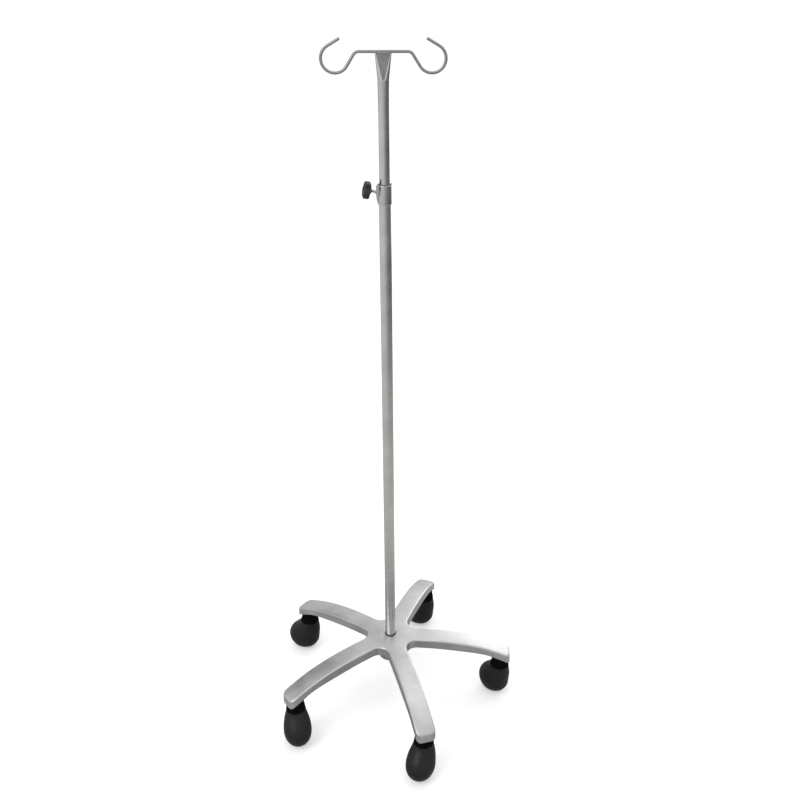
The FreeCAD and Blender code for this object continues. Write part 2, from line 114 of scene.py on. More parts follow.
def lathe(name, outline, place=Matrix(), steps=72, sharp=32.0):
    """Solid turned about the placing matrix's Z from (radius, height) points."""
    rings = []
    for radius, height in outline:
        if radius < ON_AXIS:
            rings.append([place @ Vector((0, 0, height))])
        else:
            rings.append([place @ on_circle(radius, a, height) for a in full_turn(steps)])
    return skinned(name, rings, outline[0][0] >= ON_AXIS, sharp)


def soften(corners, radius, steps=4):
    """Closed outline with its corners rounded; corners on the axis stay sharp."""
    outline = []
    for index, corner in enumerate(corners):
        here = Vector(corner)
        if here.x < ON_AXIS:
            outline.append(here)
            continue
        back = Vector(corners[index - 1]) - here
        ahead = Vector(corners[(index + 1) % len(corners)]) - here
        reach = min(radius, 0.45 * back.length, 0.45 * ahead.length)
        start = here + back.normalized() * reach
        end = here + ahead.normalized() * reach
        for step in range(steps + 1):
            t = step / steps
            outline.append(start * (1 - t) ** 2 + here * 2 * t * (1 - t) + end * t * t)
    return outline


def smooth_max(a, b, blend):
    """Larger of two lengths, with a fillet of about blend where they meet."""
    gap = max(blend - abs(a - b), 0.0) / blend
    return max(a, b) + gap * gap * blend / 4


def eased(t):
    """0 to 1 with flat ends."""
    t = min(max(t, 0.0), 1.0)
    return t * t * (3 - 2 * t)


def interpolate(pairs, at):
    """Smooth curve through (place, value) pairs, read at one place."""
    at = min(max(at, pairs[0][0]), pairs[-1][0])
    index = 0
    while index < len(pairs) - 2 and at > pairs[index + 1][0]:
        index += 1
    (x0, y0), (x1, y1) = pairs[index], pairs[index + 1]
    before = pairs[max(index - 1, 0)]
    after = pairs[min(index + 2, len(pairs) - 1)]
    slope0 = (y1 - before[1]) / (x1 - before[0])
    slope1 = (after[1] - y0) / (after[0] - x0)
    span = x1 - x0
    t = (at - x0) / span
    return ((2 * t ** 3 - 3 * t ** 2 + 1) * y0 + (t ** 3 - 2 * t ** 2 + t) * span * slope0
            + (3 * t ** 2 - 2 * t ** 3) * y1 + (t ** 3 - t ** 2) * span * slope1)


def to_mesh(name, bm, sharp=32.0):
    """Welded, smooth-shaded mesh with its sharp edges marked."""
    bmesh.ops.remove_doubles(bm, verts=bm.verts, dist=WELD)
    bmesh.ops.dissolve_degenerate(bm, edges=bm.edges, dist=WELD)
    bmesh.ops.recalc_face_normals(bm, faces=bm.faces)
    mesh = bpy.data.meshes.new(name)
    bm.to_mesh(mesh)
    bm.free()
    mesh.shade_smooth()
    mesh.set_sharp_from_angle(angle=math.radians(sharp))
    return mesh


def skinned(name, rings, closed=False, sharp=32.0):
    """Finished mesh made of one run of rings."""
    bm = bmesh.new()
    skin(bm, rings, closed)
    return to_mesh(name, bm, sharp)


def show(name, data):
    """New object in the scene that shows some data."""
    shown = bpy.data.objects.new(name, data)
    SCENE.collection.objects.link(shown)
    return shown


def carve(mesh, tools, operation, sharp=32.0):
    """Mesh after joining or cutting a list of closed tool meshes, one by one."""
    holder = show("carving", mesh)
    helpers = []
    for tool in tools:
        helper = show("tool", tool)
        cut = holder.modifiers.new("cut", "BOOLEAN")
        cut.operation = operation
        cut.solver = "MANIFOLD"
        cut.object = helper
        helpers.append(helper)
    graph = bpy.context.evaluated_depsgraph_get()
    result = bpy.data.meshes.new_from_object(holder.evaluated_get(graph))
    for helper in helpers + [holder]:
        bpy.data.objects.remove(helper)
    bm = bmesh.new()
    bm.from_mesh(result)
    return to_mesh(mesh.name, bm, sharp)


def piece(name, mesh, body, slot, *stands_for):
    """Show a mesh as a named piece that moves with a body and has a slot's finish."""
    mesh.materials.clear()
    mesh.materials.append(FINISH[slot])
    shown = show(name, mesh)
    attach(shown, body)
    if stands_for:
        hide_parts(*stands_for)
    return shown


def stand_in(node, mesh, body, slot):
    """Show a mesh instead of the CAD node that it is the form of."""
    return piece(node + "_form", mesh, body, slot, node)


# ---- finishes -----------------------------------------------------------
def add(tree, kind, **values):
    """New node with its plain settings and its unlinked inputs set."""
    node = tree.nodes.new(kind)
    for key, value in values.items():
        if hasattr(node, key):
            setattr(node, key, value)
        else:
            node.inputs[key].default_value = value
    return node


def maths(tree, operation, *terms):
    """Socket with the result of an operation on sockets and numbers."""
    node = add(tree, "ShaderNodeMath", operation=operation)
    for socket, term in zip(node.inputs, terms):
        if isinstance(term, float):
            socket.default_value = term
        else:
            tree.links.new(term, socket)
    return node.outputs["Value"]


def map_range(tree, source, start, end, low=0.0, high=1.0):
    """Socket that goes from low to high while its source goes from start to end."""
    node = add(tree, "ShaderNodeMapRange",
               **{"From Min": start, "From Max": end, "To Min": low, "To Max": high})
    tree.links.new(source, node.inputs["Value"])
    return node.outputs["Result"]


def new_material(name):
    """Material with its node tree and its shader."""
    material = bpy.data.materials.new(name)
    material.use_nodes = True
    return material, material.node_tree, material.node_tree.nodes["Principled BSDF"]


def ramp(tree, source, stops):
    """Colour ramp fed by a socket; stops are (place, colour)."""
    node = tree.nodes.new("ShaderNodeValToRGB")
    elements = node.color_ramp.elements
    while len(elements) < len(stops):
        elements.new(0.5)
    for element, (place, colour) in zip(elements, stops):
        element.position = place
        element.color = (*colour, 1.0)
    tree.links.new(source, node.inputs["Fac"])
    return node


def finish(name, dark, light, rough, grain, bump, metallic=0.0, stretch=(1, 1, 1),
           pits=0.0, edge_wear_and_highlight=0.0, sheen=0.5):
    """Procedural finish: cloudy colour, uneven gloss, fine grain, scratches and lighter sharp edges
    (painted edge highlight, partly edge wear).

    dark and light are colours, rough is a range, grain is the grain's size and
    bump its depth in metres, and stretch draws the grain out along an axis.
    """
    material, tree, shader = new_material(name)
    links = tree.links
    shader.inputs["Metallic"].default_value = metallic
    shader.inputs["Specular IOR Level"].default_value = sheen
    place = add(tree, "ShaderNodeTexCoord").outputs["Object"]
    drawn = add(tree, "ShaderNodeMapping", Scale=stretch)
    links.new(place, drawn.inputs["Vector"])
    cloud = add(tree, "ShaderNodeTexNoise", Scale=CLOUD_SCALE, Detail=5.0, Roughness=0.6)
    links.new(place, cloud.inputs["Vector"])
    fine = add(tree, "ShaderNodeTexNoise", Scale=1 / grain, Detail=4.0, Roughness=0.55)
    links.new(drawn.outputs["Vector"], fine.inputs["Vector"])
    relief = fine.outputs["Fac"]
    both = maths(tree, "MULTIPLY_ADD", relief, 1 - CLOUD_SHARE,
                 maths(tree, "MULTIPLY", cloud.outputs["Fac"], CLOUD_SHARE))
    colour = ramp(tree, both, list(zip(COLOUR_RANGE, (dark, light)))).outputs["Color"]
    # lighter colour on sharp edges, speckled by the grain: painted edge highlight, partly edge wear
    if edge_wear_and_highlight:
        shape = add(tree, "ShaderNodeNewGeometry")
        worn_and_lit = map_range(tree, shape.outputs["Pointiness"], *EDGE_WEAR_AND_HIGHLIGHT_RANGE, 0.0, edge_wear_and_highlight)
        mix = add(tree, "ShaderNodeMix", data_type="RGBA", blend_type="MIX")
        mix.inputs["B"].default_value = (*[min(1.0, c * 1.5 + 0.06) for c in light], 1.0)
        links.new(maths(tree, "MULTIPLY", worn_and_lit, relief), mix.inputs["Factor"])
        links.new(colour, mix.inputs["A"])
        colour = mix.outputs["Result"]
    links.new(colour, shader.inputs["Base Color"])
    links.new(map_range(tree, both, *GLOSS_RANGE, *rough), shader.inputs["Roughness"])
    if pits:
        holes = add(tree, "ShaderNodeTexVoronoi", Scale=PIT_SCALE)
        links.new(place, holes.inputs["Vector"])
        deep = ramp(tree, holes.outputs["Distance"], [(0.0, (0, 0, 0)), (0.3, (1, 1, 1))])
        relief = maths(tree, "MULTIPLY_ADD", deep.outputs["Color"], pits, relief)
    rise = add(tree, "ShaderNodeBump", Strength=0.6, Distance=bump)
    links.new(relief, rise.inputs["Height"])
    links.new(rise.outputs["Normal"], shader.inputs["Normal"])
    return material


CLOUD_SCALE = 22.0
CLOUD_SHARE = 0.55
COLOUR_RANGE = (0.36, 0.64)
GLOSS_RANGE = (0.35, 0.65)
# pointiness over which sharp edges turn lighter: painted edge highlight, partly edge wear
EDGE_WEAR_AND_HIGHLIGHT_RANGE = (0.52, 0.60)
PIT_SCALE = 420.0
LENGTHWISE = (1.0, 1.0, 0.012)
FINISH = {
    "cast_aluminium": finish("cast_aluminium", (0.50, 0.50, 0.505), (0.66, 0.66, 0.67), (0.34, 0.47),
                             grain=0.9 * MM, bump=0.05 * MM, metallic=1.0, pits=0.25, edge_wear_and_highlight=0.5),
    "lower_tube": finish("lower_tube", (0.56, 0.56, 0.54), (0.70, 0.70, 0.67), (0.20, 0.30),
                         grain=0.7 * MM, bump=0.004 * MM, metallic=1.0, stretch=LENGTHWISE),
    "upper_tube": finish("upper_tube", (0.58, 0.58, 0.57), (0.72, 0.72, 0.71), (0.13, 0.23),
                         grain=0.7 * MM, bump=0.005 * MM, metallic=1.0, stretch=LENGTHWISE),
    "hook_steel": finish("hook_steel", (0.28, 0.28, 0.285), (0.38, 0.38, 0.385), (0.40, 0.52),
                         grain=0.5 * MM, bump=0.01 * MM, metallic=1.0, pits=0.1),
    "collar_steel": finish("collar_steel", (0.50, 0.50, 0.49), (0.66, 0.66, 0.64), (0.15, 0.25),
                           grain=0.4 * MM, bump=0.01 * MM, metallic=1.0, edge_wear_and_highlight=0.4),
    "screw_steel": finish("screw_steel", (0.55, 0.55, 0.54), (0.72, 0.72, 0.70), (0.14, 0.28),
                          grain=0.3 * MM, bump=0.005 * MM, metallic=1.0, edge_wear_and_highlight=0.4),
    "zinc_steel": finish("zinc_steel", (0.48, 0.49, 0.50), (0.68, 0.68, 0.66), (0.26, 0.42),
                         grain=1.2 * MM, bump=0.01 * MM, metallic=1.0, pits=0.2),
    "pad_brass": finish("pad_brass", (0.52, 0.36, 0.14), (0.72, 0.53, 0.24), (0.25, 0.4),
                        grain=0.4 * MM, bump=0.01 * MM, metallic=1.0),
    "knob_plastic": finish("knob_plastic", (0.012, 0.012, 0.013), (0.024, 0.024, 0.025), (0.28, 0.42),
                           grain=0.35 * MM, bump=0.02 * MM, edge_wear_and_highlight=0.25),
    "hood_plastic": finish("hood_plastic", (0.006, 0.006, 0.007), (0.013, 0.013, 0.014), (0.34, 0.5),
                           grain=0.45 * MM, bump=0.04 * MM, edge_wear_and_highlight=0.3, sheen=0.28),
    "wheel_plastic": finish("wheel_plastic", (0.010, 0.010, 0.011), (0.020, 0.020, 0.021), (0.34, 0.5),
                            grain=0.45 * MM, bump=0.03 * MM, edge_wear_and_highlight=0.3, sheen=0.3),
    "tread_rubber": finish("tread_rubber", (0.016, 0.016, 0.016), (0.034, 0.033, 0.032), (0.6, 0.82),
                           grain=0.8 * MM, bump=0.06 * MM, pits=0.3),
    "black_rubber": finish("black_rubber", (0.05, 0.05, 0.05), (0.085, 0.085, 0.083), (0.5, 0.7),
                           grain=0.5 * MM, bump=0.03 * MM),
    "nylon": finish("nylon", (0.055, 0.055, 0.058), (0.09, 0.09, 0.092), (0.38, 0.52),
                    grain=0.5 * MM, bump=0.02 * MM),
}
# near-black, almost sheenless finish for the hood's neck band: painted shade under the arm's end
NECK_PAINTED_SHADE = finish("neck_painted_shade", (0.002, 0.002, 0.002), (0.004, 0.004, 0.004), (0.6, 0.8),
                   grain=0.5 * MM, bump=0.02 * MM, sheen=0.03)


# ---- star base ----------------------------------------------------------
HALF_WIDTH = 24 * MM
CROTCH_R = 25 * MM
EDGE_R = 3.5 * MM
END_CORNER_R = 13 * MM
CROWN = 0.6 * MM
DRAFT = 0.5 * MM
WALL = 2.3 * MM
CEILING = 4.5 * MM
LIP_R = 0.9 * MM
END_LIFT = 5.0 * MM
LIFT_START = 262 * MM
LIFT_REACH = 34 * MM
CEILING_R = 3.0 * MM
SIDE_STEPS = 40
CORNER_STEPS = 12
FLAT_STEPS = 3
CROTCH_STEPS = 22
HUB_RINGS = 9
HOLE_GAP = 0.05 * MM
HOLE_BEVEL = 0.25 * MM
CENTRE_R = (HALF_WIDTH + CROTCH_R) / math.sin(ARM_STEP / 2)
ROOT_X = CENTRE_R * math.cos(ARM_STEP / 2)


def star_outline(inset):
    """Points of the five-arm outline drawn inwards by an inset."""
    half = HALF_WIDTH - inset
    crotch = CROTCH_R + inset
    corner = max(END_CORNER_R - inset, 0.0)
    end = STEM_CIRCLE + half
    points = []
    side = []
    for step in range(SIDE_STEPS + 1):
        side.append((ROOT_X + (end - corner - ROOT_X) * step / SIDE_STEPS, half))
    for step in range(1, CORNER_STEPS + 1):
        angle = math.pi / 2 * (1 - step / CORNER_STEPS)
        side.append((end - corner + corner * math.cos(angle), half - corner + corner * math.sin(angle)))
    for step in range(1, FLAT_STEPS + 1):
        side.append((end, (half - corner) * (1 - step / FLAT_STEPS)))
    for arm in range(ARMS):
        turn = Matrix.Rotation(arm * ARM_STEP, 3, "Z")
        points += [turn @ Vector((x, -y, 0)) for x, y in side]
        points += [turn @ Vector((x, y, 0)) for x, y in side[-2::-1]]
        centre = on_circle(CENTRE_R, (arm + 0.5) * ARM_STEP)
        sweep = math.pi - ARM_STEP
        for step in range(1, CROTCH_STEPS):
            angle = (arm + 0.5) * ARM_STEP + math.pi + sweep * (0.5 - step / CROTCH_STEPS)
            points.append(centre + on_circle(crotch, angle))
    return points


def heights(tree, places, up):
    """(radius, height) pairs where rays along Z meet the CAD casting at some places."""
    found = []
    start_height = 50 * MM if up else 400 * MM
    for place in places:
        start = Vector((place.x, place.y, start_height))
        hit = tree.ray_cast(start, Vector((0, 0, 1 if up else -1)))[0]
        if hit:
            found.append((math.hypot(place.x, place.y), hit.z))
    return sorted(found)


def casting_lines():
    """Top and bottom height lines of the casting, read from the CAD node."""
    tree = BVHTree.FromObject(NODES["star_base"], bpy.context.evaluated_depsgraph_get())
    reach = ARM_END - 6.5 * MM - POLE_R
    first = POLE_R + 2 * MM
    beside_axis = 0.3 * MM
    top_places = [Vector((first + reach * k / 40, beside_axis, 0)) for k in range(41)]
    side = HALF_WIDTH - WALL / 2
    low_places = [on_circle(CENTRE_R - CROTCH_R - WALL / 2, ARM_STEP / 2)]
    low_places += [Vector((ROOT_X + (STEM_CIRCLE - ROOT_X) * k / 20, side, 0)) for k in range(21)]
    corner = END_CORNER_R - WALL / 2
    centre = Vector((ARM_END - END_CORNER_R, HALF_WIDTH - END_CORNER_R, 0))
    low_places += [centre + on_circle(corner, math.radians(a)) for a in range(80, -1, -10)]
    return heights(tree, top_places, False), heights(tree, low_places, True)


def star_base():
    """Arched, hollow five-arm casting with a crowned top and rounded edges."""
    top_line, low_line = casting_lines()
    outer_top = top_line[-1]
    slope = (outer_top[1] - top_line[-4][1]) / (outer_top[0] - top_line[-4][0])
    top_line.append((ARM_END + MM, outer_top[1] + slope * (ARM_END + MM - outer_top[0])))

    def top(point):
        return interpolate(top_line, math.hypot(point.x, point.y))

    def low(point):
        radius = math.hypot(point.x, point.y)
        return interpolate(low_line, radius) + END_LIFT * eased((radius - LIFT_START) / LIFT_REACH)

    def loop(inset, height):
        return [Vector((p.x, p.y, height(p))) for p in star_outline(inset)]

    def crowned(inset):
        share = 1 - (inset / HALF_WIDTH)
        return CROWN * share * share

    rings = []
    inner = WALL + DRAFT
    for k in range(9):
        share = 1 - k / 8
        inset = inner + CEILING_R + (HALF_WIDTH - inner - CEILING_R) * share
        rings.append(loop(inset, lambda p: top(p) - CEILING - crowned(inset)))
    for k in range(1, 6):
        angle = math.pi / 2 * k / 5
        inset = inner + CEILING_R * (1 - math.sin(angle))
        drop = CEILING_R * (1 - math.cos(angle))
        rings.append(loop(inset, lambda p: top(p) - CEILING - crowned(inner) - drop))
    for k in range(1, 4):
        share = k / 4
        inset = inner + (WALL - inner) * share
        deep = CEILING + CROWN + CEILING_R
        rings.append(loop(inset, lambda p: (top(p) - deep) * (1 - share) + (low(p) + LIP_R) * share))
    for k in range(9):
        angle = math.pi * k / 8
        inset = WALL / 2 + WALL / 2 * math.cos(angle)
        rise = LIP_R * (1 - math.sin(angle))
        rings.append(loop(inset, lambda p: low(p) + rise))
    for k in range(1, 6):
        share = k / 6
        inset = DRAFT * share
        rings.append(loop(inset, lambda p: (low(p) + LIP_R) * (1 - share)
                          + (top(p) - EDGE_R - crowned(DRAFT)) * share))
    for k in range(9):
        angle = math.pi / 2 * k / 8
        inset = DRAFT + EDGE_R * (1 - math.cos(angle))
        drop = EDGE_R * (1 - math.sin(angle))
        rings.append(loop(inset, lambda p: top(p) - crowned(inset) - drop))
    for k in range(1, 10):
        share = k / 9
        start = DRAFT + EDGE_R
        inset = start + (HALF_WIDTH - start) * share
        rings.append(loop(inset, lambda p: top(p) - crowned(inset)))
    bm = bmesh.new()
    skin(bm, rings)
    flat = star_outline(HALF_WIDTH)
    per_arm = len(flat) // ARMS
    rim = []
    for arm in range(ARMS):
        last_root = (arm + 1) * per_arm - CROTCH_STEPS
        rim += flat[last_root:last_root + CROTCH_STEPS]
    hub = []
    for k in range(HUB_RINGS):
        hub.append(hub_ring(rim, k / HUB_RINGS, top))
    hub.append(hub_ring(rim, 1, lambda p: top(p) - HOLE_BEVEL))
    for k in range(HUB_RINGS + 1):
        hub.append(hub_ring(rim, 1 - k / HUB_RINGS, lambda p: top(p) - CEILING))
    skin(bm, hub)
    shell = to_mesh("star_base", bm)
    return carve(shell, casting_bosses(top), "UNION", 38.0)


def hub_ring(rim, share, height):
    """Ring between the hub's star-shaped rim and the round hole for the pole."""
    ring = []
    for point in rim:
        hole = on_circle(POLE_R + HOLE_GAP, math.atan2(point.y, point.x))
        place = point * (1 - share) + hole * share
        ring.append(Vector((place.x, place.y, height(place))))
    return ring


def casting_bosses(top):
    """Hub boss, stem bosses and arm ribs that join the underside of the shell."""
    tools = []
    hub_r = 30 * MM
    bottom = POLE_FOOT - 8 * MM
    bolt_r = 5.3 * MM
    under_hub = top(Vector((hub_r, 0, 0))) - CEILING / 2
    socket_r = POLE_R + 0.1 * MM
    tools.append(lathe("hub_boss", soften([(bolt_r, bottom), (hub_r, bottom), (hub_r, under_hub),
                                           (socket_r, under_hub), (socket_r, POLE_FOOT),
                                           (bolt_r, POLE_FOOT)], 1.5 * MM)))
    stem_r = 5.55 * MM
    boss_r = 14 * MM
    stem_below_boss = 40 * MM
    boss_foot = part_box("caster_stem_1")[0].z + stem_below_boss
    under_arm = top(Vector((STEM_CIRCLE + boss_r, 0, 0))) - CEILING / 2
    rib_half = 1.5 * MM
    rib_depth = 13 * MM
    rib_arch = 5 * MM
    draft = 0.4 * MM
    steps = 24
    for arm in range(ARMS):
        turn = Matrix.Rotation(arm * ARM_STEP, 4, "Z")
        boss = soften([(stem_r, boss_foot), (boss_r, boss_foot), (boss_r + 0.8 * MM, under_arm),
                       (stem_r, under_arm)], 0.8 * MM)
        tools.append(lathe("stem_boss", boss, turn @ Matrix.Translation((STEM_CIRCLE, 0, 0)), 48))
        rings = []
        for k in range(steps + 1):
            x = hub_r - MM + (STEM_CIRCLE - boss_r + MM - hub_r + MM) * k / steps
            high = top(Vector((x, 0, 0))) - CEILING / 2
            deep = high - rib_depth + rib_arch * math.sin(math.pi * k / steps)
            rings.append([turn @ Vector((x, y, z)) for y, z in
                          ((-rib_half - draft, high), (-rib_half, deep + MM), (-rib_half / 2, deep),
                           (rib_half / 2, deep), (rib_half, deep + MM), (rib_half + draft, high))])
        bm = bmesh.new()
        skin(bm, rings)
        bmesh.ops.holes_fill(bm, edges=[e for e in bm.edges if e.is_boundary])
        tools.append(to_mesh("rib", bm))
    return tools


# ---- pole ---------------------------------------------------------------
TUBE_WALL = 1.0 * MM
# depth below the tube's top, half length of the pressed flat and radius of the round sides
PRESSED = [(92.8 * MM, 0.0, UPPER_R), (48.8 * MM, 1.4 * MM, 10.2 * MM), (0.0, 13.98 * MM, 2.2 * MM)]
END_ARC_STEPS = 48


def pole_tube():
    """Fixed lower tube with softened ends."""
    bore = POLE_R - TUBE_WALL
    wall = [(POLE_R, POLE_FOOT), (POLE_R, POLE_TOP), (bore, POLE_TOP), (bore, POLE_FOOT)]
    return lathe("lower_pole", soften(wall, 0.35 * MM), steps=128)


def pressed_ring(height, inset):
    """Section of the upper tube: round, then with two flats that widen towards the top."""
    depth = min(max(UPPER_TOP - height, 0.0), PRESSED[0][0])
    low, high = PRESSED[:2] if depth > PRESSED[1][0] else PRESSED[1:]
    share = (low[0] - depth) / (low[0] - high[0])
    half_flat = low[1] + (high[1] - low[1]) * share
    round_r = max(low[2] + (high[2] - low[2]) * share - inset, 0.4 * MM)
    ring = []
    for side in (1, -1):
        for step in range(END_ARC_STEPS + 1):
            angle = math.pi * (step / END_ARC_STEPS - 0.5)
            ring.append(Vector((side * (half_flat + round_r * math.cos(angle)),
                                side * round_r * math.sin(angle), height)))
    return ring


def upper_tube():
    """Sliding tube with its pressed top, closed round the hook rod."""
    pinch_start = UPPER_TOP - PRESSED[0][0]
    pinch_steps = 38
    outer = [UPPER_FOOT, UPPER_FOOT + 0.4 * MM, pinch_start - 2 * MM]
    outer += [pinch_start + PRESSED[0][0] * k / pinch_steps for k in range(pinch_steps + 1)]
    seal = UPPER_TOP - 12 * MM
    rings = [pressed_ring(height, 0.3 * MM if height == UPPER_FOOT else 0) for height in outer]
    rings.append(pressed_ring(UPPER_TOP + 0.4 * MM, 0.5 * MM))
    rings.append([Vector((0, 0, UPPER_TOP + 0.5 * MM))])
    bore = [pressed_ring(height, TUBE_WALL) for height in outer if height < seal]
    return skinned("upper_pole", [[Vector((0, 0, seal))]] + bore[::-1] + rings)


# ---- hook rod -----------------------------------------------------------
ROD_R = 3.0 * MM
BAR_HEIGHT = 1587 * MM
BEND_R = 12 * MM
BEND_X = 46.5 * MM
HOOK_R = 26.5 * MM
HOOK_X = 92.5 * MM
HOOK_DROP = 12.5 * MM
TIP_RISE = math.radians(30)
TIP_LENGTH = 27 * MM
ROD_STEPS = 28


def hook_line():
    """Points and tangents of the right half of the rod's centre line, from the pole out."""
    gap = math.hypot(HOOK_X - BEND_X, BEND_R - HOOK_DROP)
    lean = math.atan2(BEND_R - HOOK_DROP, HOOK_X - BEND_X)
    leave = lean + math.acos((BEND_R + HOOK_R) / gap)
    line = [(BEND_X * k / 6, 0.0) for k in range(6)]
    bend_steps = 14
    for k in range(bend_steps + 1):
        angle = math.pi / 2 + (leave - math.pi / 2) * k / bend_steps
        line.append((BEND_X + BEND_R * math.cos(angle), -BEND_R + BEND_R * math.sin(angle)))
    start = leave + math.pi
    end = math.tau + math.pi / 2 - TIP_RISE
    hook_steps = 56
    for k in range(hook_steps + 1):
        angle = start + (end - start) * k / hook_steps
        line.append((HOOK_X + HOOK_R * math.cos(angle), -HOOK_DROP + HOOK_R * math.sin(angle)))
    last = line[-1]
    tip_steps = 5
    for k in range(1, tip_steps + 1):
        run = TIP_LENGTH * k / tip_steps
        line.append((last[0] - run * math.cos(TIP_RISE), last[1] + run * math.sin(TIP_RISE)))
    return line


def hook_rod():
    """One bent rod with a rounded tip at each end."""
    half = hook_line()
    line = [(-x, z) for x, z in half[:0:-1]] + half
    points = [Vector((x, 0, BAR_HEIGHT + z)) for x, z in line]
    distinct = [points[0]]
    for point in points[1:]:
        if (point - distinct[-1]).length > 0.05 * MM:
            distinct.append(point)
    rings = []
    count = len(distinct)
    tip_r = 1.9 * MM
    for index, point in enumerate(distinct):
        ahead = distinct[min(index + 1, count - 1)] - distinct[max(index - 1, 0)]
        tangent = ahead.normalized()
        if index == 0:
            rings += rod_tip(point, tangent, tip_r)
        elif index == count - 1:
            rings += rod_tip(point, tangent, -tip_r)[::-1]
        else:
            rings.append(rod_ring(point, tangent, ROD_R))
    return skinned("hook_rod", rings)


def rod_ring(centre, tangent, radius):
    """Round section of the rod, square to its path in the XZ plane."""
    across = Vector((0, 1, 0))
    normal = tangent.cross(across)
    return [centre + (normal * math.sin(a) + across * math.cos(a)) * radius
            for a in full_turn(ROD_STEPS)]


def rod_tip(end, tangent, rounding):
    """Rounded end of the rod; a negative rounding is for the far end of the path."""
    rings = [[end]]
    steps = 6
    for k in range(steps + 1):
        angle = math.pi / 2 * k / steps
        radius = ROD_R - abs(rounding) * (1 - math.sin(angle))
        rings.append(rod_ring(end + tangent * rounding * (1 - math.cos(angle)), tangent, radius))
    return rings


def weld_bead(side):
    """Rippled weld along the rod on one face of the pressed tube."""
    length = 2 * UPPER_WIDE - 6 * MM
    steps = 90
    around = 16
    ripples = 15
    bead_r = 1.7 * MM
    outwards = 2.0 * MM
    drop = 0.3 * MM
    rings = []
    for k in range(steps + 1):
        share = k / steps
        x = length * (share - 0.5)
        swell = math.sqrt(max(1 - (2 * share - 1) ** 6, 0.0))
        ripple = 1 + 0.10 * math.sin(math.tau * ripples * share) + 0.05 * math.sin(23 * share + side)
        radius = bead_r * swell * ripple
        centre = Vector((x, side * outwards, UPPER_TOP - drop))
        if radius < 0.1 * MM:
            rings.append([centre])
            continue
        rings.append([centre + Vector((0, math.cos(a), math.sin(a))) * radius
                      for a in full_turn(around)])
    return skinned("weld", rings)


# ---- clamp --------------------------------------------------------------
def screw_axis():
    """Outward unit direction of the clamp screw, from the joint that slides its pad."""
    joint = next(j for j in frame["joints"] if j["name"] == "pad_slide")
    return Vector(joint["axis"]).normalized()


SCREW_WAY = screw_axis()
SCREW_HEIGHT = 1315.2 * MM
LUG_ANGLE = math.atan2(SCREW_WAY.y, SCREW_WAY.x)
ALONG_SCREW = (Matrix.Translation((0, 0, SCREW_HEIGHT))
               @ SCREW_WAY.to_track_quat("Z", "Y").to_matrix().to_4x4())

KNOB_NEAR = 29.5 * MM
KNOB_FAR = 45.5 * MM
KNOB_CORE_R = 13 * MM
KNOB_LOBES = 6
KNOB_LOBE_R = 5.2 * MM
KNOB_LOBE_CIRCLE = 12.8 * MM
KNOB_BLEND = 1.8 * MM


def collar():
    """Clamp sleeve with a blended lug for the screw."""
    sleeve_r = 14.5 * MM
    reach = 17.3 * MM
    lug_half = 7.5 * MM
    bottom = COLLAR_LOW.z
    top = COLLAR_HIGH.z
    bore = POLE_R + 0.02 * MM
    seat = 13.0 * MM
    steps = 144
    round_r = 1.0 * MM
    lug_rise = 13 * MM
    lug_fall = 6 * MM
    lug_spread = math.radians(75)
    lug_edge = 1.2 * MM
    lug_blend = 0.9 * MM
    quarter = [math.pi / 2 * k / 5 for k in range(6)]
    edge = [(round_r * (1 - math.sin(a)), round_r * (1 - math.cos(a))) for a in quarter]
    rows = [(bottom + rise, inset) for rise, inset in edge[::-1]]
    body_steps = 36
    for k in range(1, body_steps):
        rows.append((bottom + round_r + (top - bottom - 2 * round_r) * k / body_steps, 0.0))
    rows += [(top - rise, inset) for rise, inset in edge]

    def radius(angle, z):
        taper = min((z - bottom) / lug_rise, (top - z) / lug_fall, 1.0)
        depth = sleeve_r + (reach - sleeve_r) * max(taper, 0.0)
        turn = abs((angle - LUG_ANGLE + math.pi) % math.tau - math.pi)
        if turn > lug_spread:
            return sleeve_r
        flat = depth / math.cos(turn)
        side = lug_half / max(math.sin(turn), 0.05)
        return smooth_max(sleeve_r, -smooth_max(-flat, -side, lug_edge), lug_blend)

    rings = []
    for z, inset in rows:
        rings.append([on_circle(radius(a, z) - inset, a, z) for a in full_turn(steps)])
    for inner_r, z in ((seat + 0.2 * MM, top), (seat, top - 0.2 * MM), (seat, POLE_TOP),
                       (bore, POLE_TOP), (bore, bottom + 0.2 * MM), (bore + 0.2 * MM, bottom)):
        rings.append([on_circle(inner_r, a, z) for a in full_turn(steps)])
    return skinned("clamp_collar", rings, True, 40.0)


def foot_ring():
    """Plain sealing ring with softened edges."""
    low, high, outer = FOOT_LOW.z, FOOT_HIGH.z, FOOT_HIGH.x
    corners = [(POLE_R, low), (outer, low), (outer, high), (POLE_R, high)]
    return lathe("foot_ring", soften(corners, 1.1 * MM), steps=96)


def guide_ring():
    """Nylon guide with a lip that rests on the collar."""
    inner = UPPER_R + 0.05 * MM
    lip = RING_HIGH.x
    seat = 13.0 * MM
    shoulder = COLLAR_HIGH.z
    corners = [(inner, RING_LOW.z), (seat, RING_LOW.z), (seat, shoulder), (lip, shoulder),
               (lip, RING_HIGH.z), (inner, RING_HIGH.z)]
    return lathe("guide_ring", soften(corners, 0.5 * MM), steps=96)


def screw_ring(count, along, radius):
    """Ring of points about the screw, whose radius is a function of the angle."""
    return [ALONG_SCREW @ on_circle(radius(a), a, along) for a in full_turn(count)]


